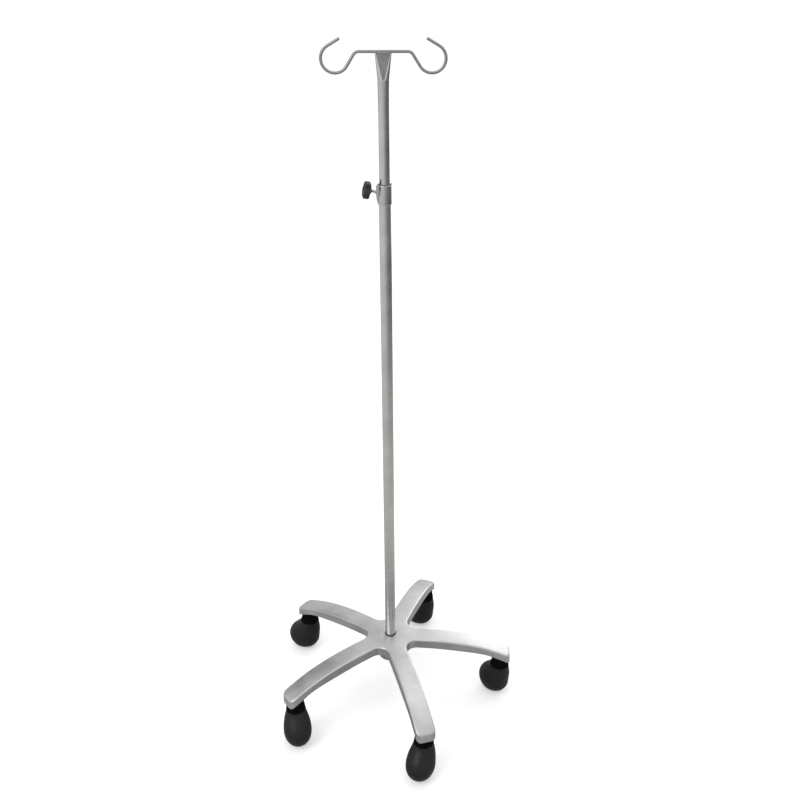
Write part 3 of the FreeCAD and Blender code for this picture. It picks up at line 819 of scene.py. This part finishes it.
def screw():
    """Screw with a rolled thread, a chamfered end and a small nose."""
    pitch = 1.0 * MM
    depth = 0.32 * MM
    radius = 3.0 * MM
    start = 13.85 * MM
    end = 41.0 * MM
    around = 28
    per_pitch = 8
    count = int((end - start) / pitch * per_pitch)
    nose = 12.8 * MM
    nose_r = 1.0 * MM
    chamfer = 0.8 * MM
    rings = [[ALONG_SCREW @ Vector((0, 0, nose))],
             screw_ring(around, nose, lambda a: nose_r), screw_ring(around, start, lambda a: nose_r)]
    for row in range(count + 1):
        along = start + (end - start) * row / count
        widest = radius - chamfer + min(along - start, end - along)

        def thread(angle):
            phase = (along / pitch - angle / math.tau) % 1.0
            return min(radius - depth * (1 - abs(2 * phase - 1)), widest)

        rings.append(screw_ring(around, along, thread))
    rings.append([ALONG_SCREW @ Vector((0, 0, end))])
    return skinned("clamp_screw", rings, sharp=50.0)


def lobed(angle):
    """Radius of the star knob's outline at an angle."""
    step = math.tau / KNOB_LOBES
    turn = abs((angle + step / 2) % step - step / 2)
    aside = KNOB_LOBE_CIRCLE * math.sin(turn)
    reach = 0.0
    if aside < KNOB_LOBE_R:
        reach = KNOB_LOBE_CIRCLE * math.cos(turn) + math.sqrt(KNOB_LOBE_R ** 2 - aside ** 2)
    return smooth_max(KNOB_CORE_R, reach, KNOB_BLEND)


def knob():
    """Star knob with soft lobes, a neck, a flared face and a recess for its cap."""
    near = KNOB_NEAR
    far = KNOB_FAR
    dome = 1.1 * MM
    neck_r = 6.0 * MM
    recess_r = 7.05 * MM
    bore_r = 3.0 * MM
    around = 180
    soft = 4.2 * MM

    def ring(along, inset):
        return screw_ring(around, along, lambda a: lobed(a) - inset)

    def blended(along, share, inner):
        return screw_ring(around, along, lambda a: (lobed(a) - soft) * (1 - share) + inner * share)

    def circle(along, radius):
        return screw_ring(around, along, lambda a: radius)

    rings = [circle(near - 1.5 * MM, bore_r), circle(near - 1.5 * MM, neck_r - 0.5 * MM),
             circle(near - MM, neck_r), circle(near - 0.5 * MM, neck_r),
             circle(near, neck_r + 0.9 * MM)]
    for share in (0.7, 0.4, 0.2, 0.0):
        rings.append(blended(near + dome * (1 - share) ** 2, share, neck_r + 0.9 * MM))
    for k in range(1, 9):
        angle = math.pi / 2 * k / 8
        rings.append(ring(near + dome + (soft - dome) * (1 - math.cos(angle)),
                          soft * (1 - math.sin(angle))))
    for k in range(1, 5):
        rings.append(ring(near + soft + (far - near - 2 * soft) * k / 5, 0.0))
    for k in range(9):
        angle = math.pi / 2 * k / 8
        rings.append(ring(far - dome - (soft - dome) * (1 - math.sin(angle)),
                          soft * (1 - math.cos(angle))))
    for share in (0.2, 0.5, 0.8):
        rings.append(blended(far - dome * (1 - share) ** 2, share, recess_r + 0.5 * MM))
    rings += [circle(far - 0.05 * MM, recess_r + 0.5 * MM), circle(far - 0.4 * MM, recess_r),
              circle(far - 1.5 * MM, recess_r), circle(far - 1.5 * MM, bore_r)]
    return skinned("clamp_knob", rings, True, 40.0)


def knob_cap():
    """Slightly domed cap with a shallow ring groove."""
    far = KNOB_FAR
    edge = 7.0 * MM
    outline = [(0.0, far - 1.5 * MM), (edge, far - 1.5 * MM), (edge, far + 0.1 * MM)]
    for k in range(24, -1, -1):
        radius = (edge - 0.4 * MM) * k / 24
        dome = 0.7 * MM * math.sqrt(max(1 - (radius / edge) ** 2, 0.0))
        groove = 0.25 * MM * math.exp(-((radius - 4.6 * MM) / (0.4 * MM)) ** 2)
        outline.append((radius, far + 0.1 * MM + dome - groove))
    return lathe("knob_cap", outline, ALONG_SCREW, 64)


# ---- castors, drawn with the stem on the Z axis and the wheels trailing along +X ----
TRAIL = (middle("caster_axle_1") - middle("caster_stem_1")).to_2d().length
AXLE_HEIGHT = middle("caster_axle_1").z
HOOD_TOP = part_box("caster_hood_1")[1].z
HOOD_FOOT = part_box("caster_hood_1")[0].z
WELL_R = 38.6 * MM
WELL_REACH = 48.0 * MM
WEB_HALF = 3.7 * MM
HOOD_WALL = 2.0 * MM
HOOD_POINTS = 112
NECK_R = 21.0 * MM
SHOULDER = 99 * MM
# foot of the neck band: the hood is dented above it, and the faces above it get painted shade
SHADED_BAND_FOOT = 90 * MM
BAND_DENT = 0.5 * MM
TYRE_INNER = 30 * MM
WHEEL_CROWN = 5.5 * MM
WHEEL_BULGE = 23.5 * MM
WHEEL_IN = 4.5 * MM
WHEEL_OUT = WHEEL_CROWN + WHEEL_BULGE
DOME_EDGE = 19.6 * MM
BORE_DEPTH = 24.6 * MM
CAVITY_TOP = 84 * MM
# in millimetres: a section's height, its centre's distance from the stem, half length, half width
HOOD_SECTIONS = [(12, 19.0, 32.2, 27.2), (24, 19.0, 39.6, 32.2), (38, 19.0, 42.2, 34.0),
                 (50, 17.2, 41.6, 33.4), (62, 13.0, 38.9, 31.4), (74, 7.0, 32.4, 27.8),
                 (84, 2.5, 26.4, 24.6), (94, 0.3, 23.7, 23.5), (99, 0.0, 23.4, 23.3)]


def hood_ring(height, inset=0.0):
    """Oval section of the hood's egg at a height."""
    level = height / MM
    centre, long, wide = (interpolate([(section[0], section[n]) for section in HOOD_SECTIONS], level) * MM
                          for n in (1, 2, 3))
    return [Vector((centre + (long - inset) * math.cos(a), (wide - inset) * math.sin(a), height))
            for a in full_turn(HOOD_POINTS)]


def circle_ring(radius, height):
    """Round section with as many points as the hood's ovals."""
    return [on_circle(radius, a, height) for a in full_turn(HOOD_POINTS)]


def cylinder_tool(radius, low, high, place, steps=128):
    """Closed round cutter."""
    return lathe("cutter", [(0.0, low), (radius, low), (radius, high), (0.0, high)], place, steps)


def axle_frame(side):
    """Placing matrix with Z along the axle, outwards on one side."""
    way = Vector((0, side, 0)).to_track_quat("Z", "X").to_matrix().to_4x4()
    return Matrix.Translation((TRAIL, 0, AXLE_HEIGHT)) @ way


def hood_cavity():
    """Closed tool for the space inside the hood's wall, open through its foot."""
    foot = HOOD_FOOT - 2 * MM
    steps = 40
    rings = [[Vector((TRAIL, 0, foot))]]
    for k in range(steps + 1):
        rings.append(hood_ring(foot + (CAVITY_TOP - foot) * k / steps, HOOD_WALL))
    rings.append([Vector((0, 0, CAVITY_TOP))])
    return skinned("cavity", rings)


def hood():
    """Egg-shaped castor hood with two wheel wells and a central web."""
    lip = 0.8 * MM
    rings = [[Vector((TRAIL, 0, HOOD_FOOT))]]
    for k in range(5):
        angle = math.pi / 2 * k / 5
        rings.append(hood_ring(HOOD_FOOT + lip * (1 - math.cos(angle)), lip * (1 - math.sin(angle))))
    steps = 50
    shoulder_r = 1.8 * MM
    for k in range(steps + 1):
        height = HOOD_FOOT + lip + (SHOULDER - shoulder_r - HOOD_FOOT - lip) * k / steps
        rings.append(hood_ring(height, BAND_DENT if height > SHADED_BAND_FOOT else 0))
    for k in range(1, 7):
        angle = math.pi / 2 * k / 6
        rings.append(hood_ring(SHOULDER - shoulder_r * (1 - math.sin(angle)),
                               BAND_DENT + shoulder_r * (1 - math.cos(angle))))
    rings += [circle_ring(NECK_R + 0.2 * MM, SHOULDER), circle_ring(NECK_R, SHOULDER + 0.4 * MM),
              circle_ring(NECK_R, HOOD_TOP - MM), circle_ring(NECK_R - 0.3 * MM, HOOD_TOP - 0.3 * MM),
              circle_ring(NECK_R - MM, HOOD_TOP), [Vector((0, 0, HOOD_TOP))]]
    egg = skinned("caster_hood", rings)
    tools = []
    for side in (1, -1):
        well = cylinder_tool(WELL_R, WEB_HALF, WELL_REACH, axle_frame(side))
        tools.append(carve(hood_cavity(), [well], "INTERSECT"))
    axle_hole_r = 4 * MM
    stem_hole_r = 5.55 * MM
    stem_hole_foot = 83 * MM
    through = 10 * MM
    tools.append(cylinder_tool(axle_hole_r, -through, through, axle_frame(1), 48))
    tools.append(cylinder_tool(stem_hole_r, stem_hole_foot, HOOD_TOP + MM, Matrix(), 48))
    return carve(egg, tools, "DIFFERENCE", 30.0)


def wheel_core(side):
    """Wheel body with a domed face, two ring grooves and a sunk panel."""
    rise = WHEEL_OUT - DOME_EDGE
    sphere = (TYRE_INNER ** 2 + rise ** 2) / (2 * rise)
    bore_r, hub_r = 4.05 * MM, 11 * MM
    hub_groove, hub_groove_size = 9.0 * MM, 0.55 * MM
    rim_groove, rim_groove_size = 25.0 * MM, 0.7 * MM
    panel_in, panel_out, panel_edge, panel_depth = 11 * MM, 24 * MM, 3 * MM, 0.5 * MM
    outline = []
    steps = 90
    for k in range(steps + 1):
        radius = (TYRE_INNER - 0.3 * MM) * k / steps
        dome = WHEEL_OUT - sphere + math.sqrt(sphere ** 2 - radius ** 2)
        groove = hub_groove_size * math.exp(-((radius - hub_groove) / hub_groove_size) ** 2)
        groove += rim_groove_size * math.exp(-((radius - rim_groove) / rim_groove_size) ** 2)
        panel = eased((radius - panel_in) / panel_edge) * eased((panel_out - radius) / panel_edge)
        outline.append((radius, dome - groove - panel_depth * panel))
    outline += [(TYRE_INNER, DOME_EDGE - 0.4 * MM), (TYRE_INNER, WHEEL_IN + 0.5 * MM),
                (TYRE_INNER - 0.5 * MM, WHEEL_IN), (hub_r + MM, WHEEL_IN), (hub_r, WHEEL_IN + 0.3 * MM),
                (bore_r + 0.25 * MM, WHEEL_IN + 0.3 * MM), (bore_r, WHEEL_IN + 0.6 * MM),
                (bore_r, BORE_DEPTH), (0.0, BORE_DEPTH)]
    return lathe("wheel_core", outline, axle_frame(side), 112, 40.0)


def wheel_tyre(side):
    """Rubber tread with an oval outside and two fine grooves."""
    tread = AXLE_HEIGHT
    inner = WHEEL_IN + 0.4 * MM
    outline = [(TYRE_INNER, inner), (tread - 0.8 * MM, inner), (tread - 0.2 * MM, inner + 0.25 * MM)]
    steps = 60
    side_angle = math.acos(TYRE_INNER / tread)
    groove_size = 0.5 * MM
    groove_places = (9.0 * MM, 12.5 * MM)
    for k in range(steps + 1):
        angle = side_angle * k / steps
        across = WHEEL_CROWN + WHEEL_BULGE * math.sin(angle)
        groove = sum(groove_size * math.exp(-((across - place) / groove_size) ** 2)
                     for place in groove_places)
        outline.append((tread * math.cos(angle) - groove, across))
    return lathe("wheel_tyre", outline, axle_frame(side), 128, 40.0)


def castor_places():
    """Placing matrix of each castor, from its stem to its axle."""
    places = {}
    for number in range(1, ARMS + 1):
        stem = middle(f"caster_stem_{number}")
        trail = middle(f"caster_axle_{number}") - stem
        angle = math.atan2(trail.y, trail.x)
        places[number] = Matrix.Translation((stem.x, stem.y, 0)) @ Matrix.Rotation(angle, 4, "Z")
    return places


def show_castors():
    """Five copies of the castor's hood, wheel bodies and tyres."""
    drawn = {"caster_hood": (hood(), "caster", "hood_plastic"),
             "wheel_core_a": (wheel_core(1), "wheel_a", "wheel_plastic"),
             "wheel_core_b": (wheel_core(-1), "wheel_b", "wheel_plastic"),
             "wheel_tyre_a": (wheel_tyre(1), "wheel_a", "tread_rubber"),
             "wheel_tyre_b": (wheel_tyre(-1), "wheel_b", "tread_rubber")}
    for number, place in castor_places().items():
        for name, (pattern, body, slot) in drawn.items():
            mesh = pattern.copy()
            mesh.transform(place)
            node = f"{name}_{number}"
            shown = stand_in(node, mesh, f"{body}_{number}", slot)
            if name == "caster_hood":
                # faces above the band's foot get the near-black finish: painted shade under the arm's end
                shown.data.materials.append(NECK_PAINTED_SHADE)
                for face in shown.data.polygons:
                    face.material_index = int(face.center.z > SHADED_BAND_FOOT)


# ---- stage --------------------------------------------------------------
FLOOR_HALF = 30.0
FLOOR_TONE = 0.86
FLOOR_GLOW = 0.33
SKY_STRENGTH = 0.82
CLOTH_DROP = 2 * MM
# distances from the pole between which the cloth changes, in metres, and its tones near the pole
CLOTH_NEAR = (0.15, 0.65)
CLOTH_NEAR_TONES = (0.24, 0.58)
CLOTH_FAR = (0.7, 3.4)
CAMERA_PLACE = (0.0853, -1.9680, 1.8571)
CAMERA_LENS = 44.75
CAMERA_YAW = math.radians(-1.675)
CAMERA_PITCH = math.radians(27.13)
CAMERA_ROLL = math.radians(-0.355)
# share of a turn from straight behind the stand through its left, front and right, and the cloth's tone
CLOTH_TONES = [(0.0, 0.36), (0.20, 0.70), (0.44, 0.62), (0.50, 0.46), (0.56, 0.30), (0.64, 0.16),
               (0.88, 0.13), (1.0, 0.30)]
# name, place, point it faces, half width and tone
CARDS = [("flat_card", (-0.15, -4.0, 2.45), (-0.15, 0, 2.45), 0.75, 0.24),
         ("arm_card", (-1.15, 1.15, 1.6), (-0.2, -0.15, 0.12), 0.7, 0.18)]
# name, place, point it faces, width and watts
SOFTBOXES = [("back_softbox", (1.25, 2.2, 1.15), (0.15, 0, 0.2), 1.7, 14.0),
             ("front_softbox", (-2.2, -2.2, 3.2), (0, 0, 0.6), 2.2, 45.0),
             ("arm_softbox", (0.16, 0.4, 1.75), (0.1, -0.22, 0.15), 0.9, 2.2)]


def plane(name, half, height, material):
    """Square stage surface about the origin."""
    bm = bmesh.new()
    corners = [bm.verts.new((x * half, y * half, height))
               for x, y in ((-1, -1), (1, -1), (1, 1), (-1, 1))]
    bm.faces.new(corners)
    mesh = bpy.data.meshes.new(name)
    bm.to_mesh(mesh)
    bm.free()
    mesh.materials.append(material)
    surface = show(name, mesh)
    return surface


def pale_floor():
    """White studio floor."""
    material, _, shader = new_material("studio_floor")
    shader.inputs["Base Color"].default_value = (FLOOR_TONE, FLOOR_TONE, FLOOR_TONE, 1)
    shader.inputs["Roughness"].default_value = 0.9
    shader.inputs["Specular IOR Level"].default_value = 0.0
    shader.inputs["Emission Color"].default_value = (1, 1, 1, 1)
    shader.inputs["Emission Strength"].default_value = FLOOR_GLOW
    floor = plane("studio_floor", FLOOR_HALF, 0.0, material)
    floor.visible_glossy = False


def grey_floor():
    """Grey cloth that only reflections see: it turns from mid grey near the stand to its own tones."""
    material, tree, shader = new_material("grey_cloth")
    shader.inputs["Roughness"].default_value = 1.0
    shader.inputs["Specular IOR Level"].default_value = 0.0
    place = add(tree, "ShaderNodeTexCoord").outputs["Object"]
    parts = add(tree, "ShaderNodeSeparateXYZ")
    tree.links.new(place, parts.inputs["Vector"])
    front = maths(tree, "MULTIPLY", parts.outputs["Y"], -1.0)
    bearing = maths(tree, "ARCTAN2", parts.outputs["X"], front)
    around = map_range(tree, bearing, -math.pi, math.pi)
    tone = ramp(tree, around, [(share, (grey, grey, grey)) for share, grey in CLOTH_TONES])
    reach = add(tree, "ShaderNodeVectorMath", operation="LENGTH")
    tree.links.new(place, reach.inputs["Vector"])
    near = map_range(tree, reach.outputs["Value"], *CLOTH_NEAR, *CLOTH_NEAR_TONES)
    far = map_range(tree, reach.outputs["Value"], *CLOTH_FAR)
    shade = add(tree, "ShaderNodeMix", data_type="RGBA", blend_type="MIX")
    tree.links.new(far, shade.inputs["Factor"])
    tree.links.new(near, shade.inputs["A"])
    tree.links.new(tone.outputs["Color"], shade.inputs["B"])
    tree.links.new(shade.outputs["Result"], shader.inputs["Base Color"])
    hide_but_in_reflections(plane("grey_cloth", FLOOR_HALF, -CLOTH_DROP, material))


def hide_but_in_reflections(surface):
    """Keep a stage surface out of everything but glossy reflections."""
    surface.visible_camera = False
    surface.visible_diffuse = False
    surface.visible_shadow = False
    surface.visible_transmission = False


def turn_to(thing, place, aim, axis):
    """Put a thing in its place and turn one of its axes towards a point."""
    thing.location = place
    thing.rotation_mode = "QUATERNION"
    thing.rotation_quaternion = (Vector(aim) - Vector(place)).to_track_quat(axis, "Y")


def dark_card(name, place, aim, half, tone):
    """Dark square that only reflections see, facing a point."""
    material, _, shader = new_material(name)
    shader.inputs["Base Color"].default_value = (tone, tone, tone, 1)
    shader.inputs["Roughness"].default_value = 1.0
    card = plane(name, half, 0.0, material)
    turn_to(card, place, aim, "Z")
    hide_but_in_reflections(card)


def softbox(name, place, aim, size, watts):
    """Square area light aimed at a point."""
    light = bpy.data.lights.new(name, "AREA")
    light.shape = "SQUARE"
    light.size = size
    light.energy = watts
    turn_to(show(name, light), place, aim, "-Z")


def sky():
    """Even white room light."""
    world = bpy.data.worlds.new("room")
    world.use_nodes = True
    back = world.node_tree.nodes["Background"]
    back.inputs["Color"].default_value = (1.0, 1.0, 1.0, 1)
    back.inputs["Strength"].default_value = SKY_STRENGTH
    SCENE.world = world


def camera():
    """Camera above the floor, looking along +Y and down at the stand."""
    level = math.cos(CAMERA_PITCH)
    ahead = Vector((math.sin(CAMERA_YAW) * level, math.cos(CAMERA_YAW) * level,
                    -math.sin(CAMERA_PITCH)))
    right = ahead.cross(Vector((0, 0, 1))).normalized()
    up = right.cross(ahead)
    tilted = right * math.cos(CAMERA_ROLL) + up * math.sin(CAMERA_ROLL)
    above = tilted.cross(ahead)
    data = bpy.data.cameras.new("camera")
    data.sensor_width = 36.0
    data.lens = CAMERA_LENS
    data.clip_end = 200.0
    eye = show("camera", data)
    turn = Matrix((tilted, above, -ahead)).transposed().to_4x4()
    eye.matrix_world = Matrix.Translation(CAMERA_PLACE) @ turn
    SCENE.camera = eye


# ---- put it together ----------------------------------------------------
KEPT_NODES = {"pole_bolt": "zinc_steel", "pole_washer": "zinc_steel", "pole_plug": "zinc_steel",
              "thread_insert": "zinc_steel", "slider_plug": "nylon", "pressure_pad": "pad_brass"}
for arm_number in range(1, ARMS + 1):
    KEPT_NODES[f"caster_stem_{arm_number}"] = "zinc_steel"
    KEPT_NODES[f"caster_axle_{arm_number}"] = "zinc_steel"
    KEPT_NODES[f"dust_ring_{arm_number}"] = "black_rubber"

for node_name, slot_name in KEPT_NODES.items():
    kept = NODES[node_name]
    kept.data.materials.clear()
    kept.data.materials.append(FINISH[slot_name])

stand_in("star_base", star_base(), "root", "cast_aluminium")
stand_in("foot_ring", foot_ring(), "root", "black_rubber")
stand_in("lower_pole", pole_tube(), "root", "lower_tube")
stand_in("clamp_collar", collar(), "root", "collar_steel")
stand_in("guide_ring", guide_ring(), "root", "nylon")
stand_in("upper_pole", upper_tube(), "upper", "upper_tube")
stand_in("hook_rod", hook_rod(), "upper", "hook_steel")
piece("weld_front", weld_bead(-1), "upper", "hook_steel")
piece("weld_back", weld_bead(1), "upper", "hook_steel")
stand_in("clamp_screw", screw(), "knob", "screw_steel")
stand_in("clamp_knob", knob(), "knob", "knob_plastic")
stand_in("knob_cap", knob_cap(), "knob", "knob_plastic")
show_castors()

pale_floor()
grey_floor()
for card_values in CARDS:
    dark_card(*card_values)
sky()
for softbox_values in SOFTBOXES:
    softbox(*softbox_values)
camera()
SCENE.view_settings.view_transform = "Standard"
